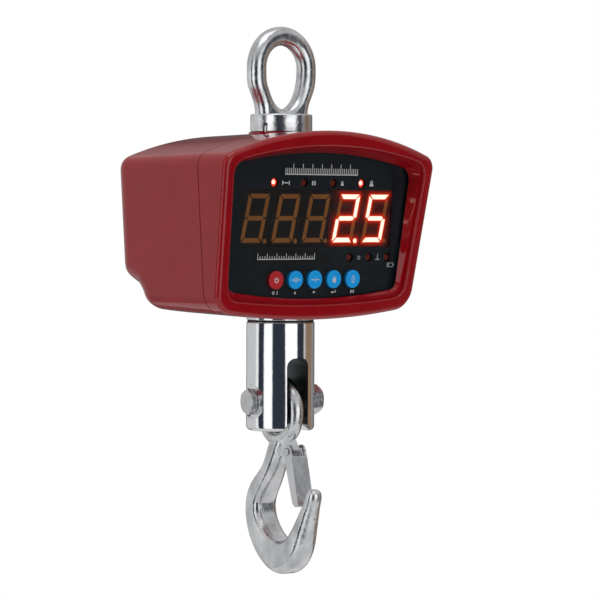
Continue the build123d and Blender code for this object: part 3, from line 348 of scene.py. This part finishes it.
def graduation(zero_u, foot_v, ticks, pitch, every, long_tick, short_tick, width):
    """Row of upright ticks, each `every`-th one long."""
    shapes = []
    for i in ticks:
        tall = short_tick if i % every else long_tick
        shapes += rect(zero_u + i * pitch, foot_v + tall / 2, width, tall)
    return shapes


def flat_marks(name, shapes, depth, thickness, material, body):
    """Thin printed marks: polygons on the window plane, `thickness` millimetres proud of `depth`."""
    bm = bmesh.new()
    for points in shapes:
        low = [bm.verts.new(on_window(u, v, depth)) for u, v in points]
        high = [bm.verts.new(on_window(u, v, depth + thickness)) for u, v in points]
        bm.faces.new(high)
        bm.faces.new(low[::-1])
        for i, _ in enumerate(points):
            j = (i + 1) % len(points)
            bm.faces.new((low[i], low[j], high[j], high[i]))
    bmesh.ops.remove_doubles(bm, verts=bm.verts, dist=WELD)
    bmesh.ops.recalc_face_normals(bm, faces=bm.faces)
    piece = add_object(name, finished_mesh(name, bm, material))
    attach(piece, body)


# the printed panel: the window's outline, lying inside the glass, with the display and the lamps left clear
DIGIT_PITCH, DIGIT_U, DIGIT_V = 31.0, 2.4, 10.2
UPPER_LAMPS, UPPER_V = (-42.9, -12.8, 17.2, 47.2), 38.2
LOWER_LAMPS, LOWER_V = (38.7, 58.8, 78.5), -21.0
LAMP_HOLE = 3.6
PRINT_DEPTH = -3.2
PANEL_T = 0.12
DISPLAY_W, DISPLAY_H = 156.0, 45.5
KEYS_U, KEYS_V = [-38.2 + 19.8 * i for i in range(5)], -38.0
# how squarely a face looks outward, and how close to the front face it lies in millimetres, to be part of it
SQUARE_ON, ON_FRONT = 0.99, 0.05


def printed_panel():
    mesh = NODES["display_window"].data
    front = []
    for face in mesh.polygons:
        centre = face.center / MM - WINDOW_ORIGIN
        if face.normal.dot(OUT) > SQUARE_ON and abs(centre.dot(OUT) - GLASS_FRONT) < ON_FRONT:
            front.append(face)
    count = {}
    for face in front:
        for key in face.edge_keys:
            count[key] = count.get(key, 0) + 1
    bm = bmesh.new()
    verts = {}
    shift = OUT * (PRINT_DEPTH - GLASS_FRONT) * MM
    # an edge with one face only belongs to the outline
    for key, uses in count.items():
        if uses == 1:
            for index in key:
                if index not in verts:
                    verts[index] = bm.verts.new(mesh.vertices[index].co + shift)
            bm.edges.new((verts[key[0]], verts[key[1]]))

    def opening(points):
        ends = [bm.verts.new(on_window(u, v, PRINT_DEPTH)) for u, v in points]
        for i, _ in enumerate(ends):
            bm.edges.new((ends[i], ends[(i + 1) % len(ends)]))

    opening(rect(DIGIT_U, DIGIT_V, DISPLAY_W, DISPLAY_H)[0])
    for u in UPPER_LAMPS:
        opening(disc(u, UPPER_V, LAMP_HOLE)[0])
    for u in LOWER_LAMPS:
        opening(disc(u, LOWER_V, LAMP_HOLE)[0])
    bmesh.ops.triangle_fill(bm, use_beauty=True, use_dissolve=False, edges=bm.edges, normal=OUT)
    piece = add_object("panel_print", finished_mesh("panel_print", bm, PRINT_DARK))
    skin = piece.modifiers.new("thickness", "SOLIDIFY")
    skin.thickness = PANEL_T * MM
    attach(piece, "housing")


printed_panel()

# graduation marks stand where a title and a rating would be, with a line under each
INK = 0.05
PATCH_DEPTH = GLASS_FRONT - 2.3
title = graduation(2.6, 45.2, range(-19, 20), pitch=1.95, every=5, long_tick=8.0, short_tick=4.6, width=0.62)
title += rect(2.6, 44.9, 75.2, 0.7)
range_marks = graduation(-58.0, -21.4, range(25), pitch=2.4, every=4, long_tick=4.4, short_tick=2.4, width=0.5)
range_marks += rect(-29.2, -21.6, 58.2, 0.5)

# plain pictograms beside the upper lamps: span, pause, small weight, large weight
labels = rect(-37.0, UPPER_V, 0.8, 3.4) + rect(-33.6, UPPER_V, 6.0, 0.8) + rect(-30.2, UPPER_V, 0.8, 3.4)
labels += rect(-6.4, UPPER_V, 1.2, 3.4) + rect(-4.0, UPPER_V, 1.2, 3.4)
labels += ring(24.3, 38.9, 0.5, 1.1, steps=16)
labels += [[(22.6, 36.5), (26.0, 36.5), (25.2, UPPER_V), (23.4, UPPER_V)]]
labels += ring(55.2, 39.3, 0.7, 1.4, steps=16)
labels += [[(52.9, 36.2), (57.5, 36.2), (56.5, 38.6), (53.9, 38.6)]]

# beside and below the lower lamps: zero, net, battery
status = ring(46.0, LOWER_V, 1.0, 1.6, steps=20)
status += rect(66.0, -22.6, 5.0, 0.6) + rect(66.0, -20.0, 0.6, 4.2) + arrow_head(66.0, -21.7, 1.2, -90)
status += rect(80.0, -28.6, 6.6, 0.5) + rect(80.0, -25.6, 6.6, 0.5) + rect(76.9, -27.1, 0.5, 3.0)
status += rect(83.1, -27.1, 0.5, 3.0) + rect(83.9, -27.1, 0.8, 1.4) + rect(78.1, -27.1, 1.0, 2.0)

# under the keys
power_u, zero_u, tare_u, hold_u, shift_u = KEYS_U
under = ring(power_u - 2.2, -48.0, 0.8, 1.25, steps=20) + rect(power_u + 1.6, -48.0, 0.6, 2.8)
under += arrow_head(zero_u, -48.2, 1.5, 90)
under += arrow_head(tare_u - 0.3, -47.9, 1.5, 0)
under += arrow_head(hold_u - 1.4, -48.2, 1.3, 180) + rect(hold_u + 0.5, -48.2, 3.6, 0.6)
under += rect(hold_u + 2.2, -47.5, 0.6, 1.9)
under += rect(shift_u - 1.2, -48.0, 1.1, 2.4) + rect(shift_u + 1.2, -48.0, 1.1, 2.4)

range_patch, sensor_patch = rect(-28.3, -19.5, 64.8, 11.0), rect(14.3, -20.8, 10.8, 8.8)
flat_marks("title_marks", title, GLASS_FRONT, INK, INK_WHITE, "housing")
flat_marks("lamp_marks", labels, GLASS_FRONT, INK, INK_WHITE, "housing")
flat_marks("range_patch", range_patch, PATCH_DEPTH, INK, PRINT_PATCH, "housing")
flat_marks("sensor_patch", sensor_patch, PATCH_DEPTH, INK, PRINT_PATCH, "housing")
flat_marks("range_marks", range_marks, GLASS_FRONT, INK, INK_WHITE, "housing")
flat_marks("status_marks", status, GLASS_FRONT, INK, INK_GREY, "housing")
flat_marks("key_labels", under, GLASS_FRONT, INK, INK_WHITE, "housing")

# pictograms on the keys: power ring, arrows to a ring, arrows to a bar, padlock, up arrow
KEY_INK = 0.04
v0 = KEYS_V
power = ring(power_u, v0, 1.5, 2.1, start=120, end=420) + rect(power_u, v0 + 1.3, 0.65, 2.4)
zero = ring(zero_u, v0, 1.0, 1.65, steps=28)
zero += rect(zero_u - 3.7, v0, 1.6, 0.6) + rect(zero_u + 3.7, v0, 1.6, 0.6)
zero += arrow_head(zero_u - 2.9, v0, 1.0, 0) + arrow_head(zero_u + 2.9, v0, 1.0, 180)
tare = rect(tare_u, v0, 0.7, 3.4)
tare += rect(tare_u - 3.3, v0, 1.8, 0.6) + rect(tare_u + 3.3, v0, 1.8, 0.6)
tare += arrow_head(tare_u - 2.1, v0, 1.1, 0) + arrow_head(tare_u + 2.1, v0, 1.1, 180)
hold = rect(hold_u, v0 - 0.9, 3.2, 3.4) + ring(hold_u, v0 + 1.0, 0.75, 1.3, start=0, end=180, steps=16)
shift = [
    [(shift_u - 2.4, v0 + 0.3), (shift_u, v0 + 3.1), (shift_u, v0 + 2.2), (shift_u - 1.3, v0 + 0.85)],
    [(shift_u + 2.4, v0 + 0.3), (shift_u + 1.3, v0 + 0.85), (shift_u, v0 + 2.2), (shift_u, v0 + 3.1)],
]
shift += rect(shift_u - 1.1, v0 - 1.0, 0.55, 3.1) + rect(shift_u + 1.1, v0 - 1.0, 0.55, 3.1)
shift += rect(shift_u, v0 - 2.6, 2.75, 0.55)
for body, shapes in (("key_power", power), ("key_zero", zero), ("key_tare", tare), ("key_hold", hold),
                     ("key_shift", shift)):
    flat_marks(f"{body}_mark", shapes, KEY_TOP, KEY_INK, INK_WHITE, body)


# ---------------------------------------------------------------- glow round the lit bars
SLANT = math.tan(math.radians(10.0))
DIGIT_H, DIGIT_W, BAR, GAP = 38.1, 21.2, 3.6, 0.35
CORNER = 0.6
MIDDLE_DIGIT = 2
LIT_BARS = {3: "abged", 4: "afgcd"}
# the lit point, from the centre of digit 3
POINT_U, POINT_V, POINT_R = 10.6, -17.9, 1.9


def bar_shapes():
    """Corner points of a digit's seven bars about its centre, upright."""
    w, h, t, g = DIGIT_W / 2, DIGIT_H / 2, BAR, GAP
    top = [(-w + g + CORNER, h), (w - g - CORNER, h), (w - t - g, h - t), (-w + t + g, h - t)]
    right = [(w, h - g - CORNER), (w, t / 4), (w - t / 2, g), (w - t, t / 2 + g), (w - t, h - t - g)]
    middle = [(-w + t / 2 + g, 0), (-w + t + g, t / 2), (w - t - g, t / 2), (w - t / 2 - g, 0),
              (w - t - g, -t / 2), (-w + t + g, -t / 2)]

    def turned(points, sx, sy):
        return [(x * sx, y * sy) for x, y in points]

    return {"a": top, "b": right, "c": turned(right, 1, -1), "d": turned(top, 1, -1),
            "e": turned(right, -1, -1), "f": turned(right, -1, 1), "g": middle}


def lit_outlines():
    """Outlines of the lit bars and the lit point on the window plane."""
    shapes = []
    for index, names in LIT_BARS.items():
        cu = DIGIT_U + (index - MIDDLE_DIGIT) * DIGIT_PITCH
        for name in names:
            shapes.append([(cu + x + y * SLANT, DIGIT_V + y) for x, y in bar_shapes()[name]])
    shapes += disc(DIGIT_U + DIGIT_PITCH + POINT_U, DIGIT_V + POINT_V, POINT_R, steps=16)
    return shapes


def outline_distance(p, points):
    """Distance from p to a polygon; 0 inside."""
    best, inside = 1e9, False
    for i, a in enumerate(points):
        b = points[(i + 1) % len(points)]
        dx, dy = b[0] - a[0], b[1] - a[1]
        t = max(0.0, min(1.0, ((p[0] - a[0]) * dx + (p[1] - a[1]) * dy) / (dx * dx + dy * dy)))
        best = min(best, math.hypot(p[0] - a[0] - t * dx, p[1] - a[1] - t * dy))
        if (a[1] > p[1]) != (b[1] > p[1]) and p[0] < a[0] + dx * (p[1] - a[1]) / (b[1] - a[1]):
            inside = not inside
    return 0.0 if inside else best


def halo_material():
    """Black with a red glow, as opaque as the mesh's `fade` says."""
    mat, tree, shader = new_material("glow_halo")
    shader.inputs["Base Color"].default_value = (0.0, 0.0, 0.0, 1)
    shader.inputs["Emission Color"].default_value = (1.0, 0.035, 0.006, 1)
    shader.inputs["Emission Strength"].default_value = 1.3
    fade = tree.nodes.new("ShaderNodeAttribute")
    fade.attribute_name = "fade"
    tree.links.new(fade.outputs["Fac"], shader.inputs["Alpha"])
    shader.inputs["Specular IOR Level"].default_value = 0.0
    return mat


HALO = halo_material()
HALO_LOW = (DIGIT_U + 0.5 * DIGIT_PITCH - 4, DIGIT_V - 24)
HALO_HIGH = (DIGIT_U + 0.5 * DIGIT_PITCH + 66, DIGIT_V + 24)
HALO_DEPTH = MODULE_FACE + 0.25
HALO_STEP = 0.5
# a bright rim that fades fast, a weak haze that reaches further, and a soft border
RIM_PEAK, RIM_REACH = 0.85, 0.9
HAZE_PEAK, HAZE_REACH = 0.16, 3.6
HALO_BORDER = 2.0
CORE_R, CORE_DEPTH, CORE_T = 1.7, GLASS_BACK - 0.38, 0.05


def digit_halo():
    """Sheet of light in front of the modules that fades away from the lit bars."""
    outlines = lit_outlines()
    nu = int((HALO_HIGH[0] - HALO_LOW[0]) / HALO_STEP)
    nv = int((HALO_HIGH[1] - HALO_LOW[1]) / HALO_STEP)
    points = [(HALO_LOW[0] + i * HALO_STEP, HALO_LOW[1] + j * HALO_STEP)
              for j in range(nv + 1) for i in range(nu + 1)]
    faces = []
    for j in range(nv):
        for i in range(nu):
            a = j * (nu + 1) + i
            faces.append((a, a + 1, a + nu + 2, a + nu + 1))
    mesh = bpy.data.meshes.new("digit_halo")
    mesh.from_pydata([on_window(u, v, HALO_DEPTH) for u, v in points], [], faces)
    fade = mesh.attributes.new("fade", "FLOAT", "POINT")
    for i, p in enumerate(points):
        d = min(outline_distance(p, o) for o in outlines)
        edge = min(p[0] - HALO_LOW[0], HALO_HIGH[0] - p[0], p[1] - HALO_LOW[1], HALO_HIGH[1] - p[1])
        light = RIM_PEAK * math.exp(-d / RIM_REACH) + HAZE_PEAK * math.exp(-d / HAZE_REACH)
        fade.data[i].value = 0.0 if d == 0 else light * min(1.0, edge / HALO_BORDER)
    mesh.materials.append(HALO)
    piece = add_object("digit_halo", mesh)
    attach(piece, "housing")


digit_halo()
# the bright spot in each lit lamp sits a little off its centre
for side, u in (("left", UPPER_LAMPS[0]), ("right", UPPER_LAMPS[3])):
    spot = disc(u - 0.7, UPPER_V + 0.3, CORE_R)
    flat_marks(f"lamp_core_{side}", spot, CORE_DEPTH, CORE_T, LAMP_CORE, "housing")

# ---------------------------------------------------------------- latch spring
# two wires stand for it: the coil and its neck leg stay with the hook, and the web leg follows the latch
# sizes in millimetres, before the fork's turn
PIVOT_Y, PIVOT_Z = -21.4, -323.0
COIL_X, COIL_R, COIL_PITCH, COIL_TURNS = 2.6, 3.2, 1.1, 2.25
WIRE_R = 0.5
NECK_TIP_Y = -11.0
WEB_TIP = (-30.3, -345.0)
# the coil stops this far before its end, and the leg's wire begins this far before it, in turns
COIL_STOP, LEG_START = 0.06, 0.30


def coil_point(turns):
    """Point on the coil, `turns` from its start at the top."""
    a = 2 * math.pi * turns
    y, z = PIVOT_Y - COIL_R * math.sin(a), PIVOT_Z + COIL_R * math.cos(a)
    return Vector((COIL_X + COIL_PITCH * turns, y, z))


def coil_points(first, last, per_turn=28):
    """Points along the coil from one count of turns to another."""
    count = max(2, round((last - first) * per_turn))
    return [coil_point(first + (last - first) * i / count) for i in range(count + 1)]


def wire(name, points, body, sides=10):
    """Round wire through the points, closed at both ends, riding a body."""
    bm = bmesh.new()
    turn = Matrix.Rotation(math.radians(FORK_TURN), 3, "Z")
    rings = []
    side = Vector((1, 0, 0))
    for i, p in enumerate(points):
        along = (points[min(i + 1, len(points) - 1)] - points[max(i - 1, 0)]).normalized()
        side = (side - along * side.dot(along)).normalized()
        other = along.cross(side)
        ring_verts = []
        for k in range(sides):
            a = 2 * math.pi * k / sides
            offset = (side * math.cos(a) + other * math.sin(a)) * WIRE_R
            ring_verts.append(bm.verts.new(turn @ (p + offset) * MM))
        rings.append(ring_verts)
    for low, high in zip(rings, rings[1:]):
        for k in range(sides):
            bm.faces.new((low[k], low[(k + 1) % sides], high[(k + 1) % sides], high[k]))
    bm.faces.new(rings[0][::-1])
    bm.faces.new(rings[-1])
    bmesh.ops.recalc_face_normals(bm, faces=bm.faces)
    mesh = finished_mesh(name, bm, LATCH_STEEL)
    mesh.shade_smooth()
    piece = add_object(name, mesh)
    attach(piece, body)
    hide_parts("latch_spring")


neck_leg = Vector((COIL_X, NECK_TIP_Y, PIVOT_Z + COIL_R))
web_leg = Vector((COIL_X + COIL_PITCH * COIL_TURNS, *WEB_TIP))
wire("spring_coil", [neck_leg, *coil_points(0, COIL_TURNS - COIL_STOP)], "hook")
wire("spring_leg", [*coil_points(COIL_TURNS - LEG_START, COIL_TURNS), web_leg], "latch")

# ---------------------------------------------------------------- studio
# metres from here on
FLOOR_Z, FLOOR_R = -1.3, 1.6
# the floor's own glow rises from the middle to the rim, so that it meets the white round it
GLOW_MIDDLE, GLOW_RIM = 0.02, 0.15
GLOW_FROM, GLOW_TO = 0.3, 1.5


def floor():
    """Pale disc far below the scale, which hangs."""
    bm = bmesh.new()
    bmesh.ops.create_circle(bm, cap_ends=True, segments=96, radius=FLOOR_R)
    mat, tree, shader = new_material("floor")
    shader.inputs["Roughness"].default_value = 0.9
    shader.inputs["Base Color"].default_value = (0.93, 0.93, 0.93, 1)
    shader.inputs["Emission Color"].default_value = (1, 1, 1, 1)
    coord = tree.nodes.new("ShaderNodeTexCoord")
    length = tree.nodes.new("ShaderNodeVectorMath")
    length.operation = "LENGTH"
    tree.links.new(coord.outputs["Object"], length.inputs[0])
    glow = span(tree, length.outputs["Value"], GLOW_MIDDLE, GLOW_RIM, GLOW_FROM, GLOW_TO)
    tree.links.new(glow, shader.inputs["Emission Strength"])
    piece = add_object("floor", finished_mesh("floor", bm, mat))
    piece.location = (0, 0, FLOOR_Z)


# the room's reflections
WHITE = (1.0, 1.0, 1.0)
WARM = (0.28, 0.19, 0.125)
DARK = (0.030, 0.037, 0.052)
OVERHEAD = (0.6, 0.6, 0.6)
LOW_ROOM = (0.16, 0.16, 0.165)
# the turn that brings the camera's side to the middle of the bands, in degrees
BANDS_TURN = 130
# round the room, degrees and then a grey level or a colour
BANDS = [
    (-180, 0.10), (-162, 0.13), (-152, 0.58), (-92, 0.62), (-89, 0.9), (-80, 0.9), (-77, DARK), (-58, DARK),
    (-55, 1.2), (-29, 1.2), (-25, DARK), (15, DARK), (18, 1.3), (57, 1.3), (61, DARK), (84, DARK), (88, 0.55),
    (93, 0.55), (97, WARM), (128, WARM), (136, 0.30), (160, 0.12), (180, 0.10),
]
# heights, as the z of a direction, between which the bands give way to the overhead and the low room
OVERHEAD_FROM, OVERHEAD_TO = 0.22, 0.50
LOW_FROM, LOW_TO = -0.75, -0.30


def studio_world():
    """White to look at; in reflections, bright panels with dark gaps and one warm wall round a pale room."""
    world = bpy.data.worlds.new("studio")
    bpy.context.scene.world = world
    world.use_nodes = True
    tree = world.node_tree
    back = tree.nodes["Background"]
    coord = tree.nodes.new("ShaderNodeTexCoord")
    turn = tree.nodes.new("ShaderNodeMapping")
    turn.inputs["Rotation"].default_value = (0, 0, math.radians(BANDS_TURN))
    split = tree.nodes.new("ShaderNodeSeparateXYZ")
    angle = tree.nodes.new("ShaderNodeMath")
    angle.operation = "ARCTAN2"
    tree.links.new(coord.outputs["Generated"], turn.inputs["Vector"])
    tree.links.new(turn.outputs["Vector"], split.inputs["Vector"])
    tree.links.new(split.outputs["Y"], angle.inputs[0])
    tree.links.new(split.outputs["X"], angle.inputs[1])
    unit = span(tree, angle.outputs["Value"], 0, 1, -math.pi, math.pi)
    ramp = tree.nodes.new("ShaderNodeValToRGB")
    stops = ramp.color_ramp.elements
    for degrees, level in BANDS:
        if abs(degrees) == 180:
            stop = stops[0] if degrees < 0 else stops[len(stops) - 1]
        else:
            stop = stops.new((degrees + 180) / 360)
        stop.color = (*level, 1) if isinstance(level, tuple) else (level, level, level, 1)
    tree.links.new(unit, ramp.inputs["Fac"])
    height = tree.nodes.new("ShaderNodeSeparateXYZ")
    tree.links.new(coord.outputs["Generated"], height.inputs["Vector"])
    above = span(tree, height.outputs["Z"], 0, 1, OVERHEAD_FROM, OVERHEAD_TO)
    below = span(tree, height.outputs["Z"], 1, 0, LOW_FROM, LOW_TO)
    room = blend_colours(tree, above, ramp.outputs["Color"], OVERHEAD)
    room = blend_colours(tree, below, room, LOW_ROOM)
    path = tree.nodes.new("ShaderNodeLightPath")
    seen = blend_colours(tree, path.outputs["Is Camera Ray"], room, WHITE)
    tree.links.new(seen, back.inputs["Color"])
    back.inputs["Strength"].default_value = 1.0


def soft_light(name, place, target, size, power):
    """Rectangular area light at a place, aimed at a target."""
    data = bpy.data.lights.new(name, "AREA")
    data.shape = "RECTANGLE"
    data.size, data.size_y = size
    data.energy = power
    lamp = add_object(name, data)
    lamp.location = place
    lamp.rotation_euler = (Vector(target) - Vector(place)).to_track_quat("-Z", "Y").to_euler()


CAMERA_PLACE = (-1.3714, -1.6585, -0.1301)
CAMERA_AZIMUTH, CAMERA_DOWN, CAMERA_ROLL = -40, 1.94, 0.25
LENS_MM, SENSOR_MM = 161.4, 36.0
CLIP_END = 60


def camera():
    """Long lens about 2.15 m away, 40 degrees to the left of the display's normal."""
    data = bpy.data.cameras.new("camera")
    data.sensor_width = SENSOR_MM
    data.lens = LENS_MM
    data.clip_end = CLIP_END
    eye = add_object("camera", data)
    heading = Matrix.Rotation(math.radians(CAMERA_AZIMUTH), 4, "Z")
    pitch = Matrix.Rotation(math.radians(90 - CAMERA_DOWN), 4, "X")
    roll = Matrix.Rotation(math.radians(CAMERA_ROLL), 4, "Z")
    eye.matrix_world = Matrix.Translation(CAMERA_PLACE) @ heading @ pitch @ roll
    bpy.context.scene.camera = eye


floor()
studio_world()
soft_light("overhead", place=(-0.3, -0.3, 1.4), target=(0, 0, -0.1), size=(1.2, 1.2), power=6)
camera()
bpy.context.scene.view_settings.view_transform = "Standard"
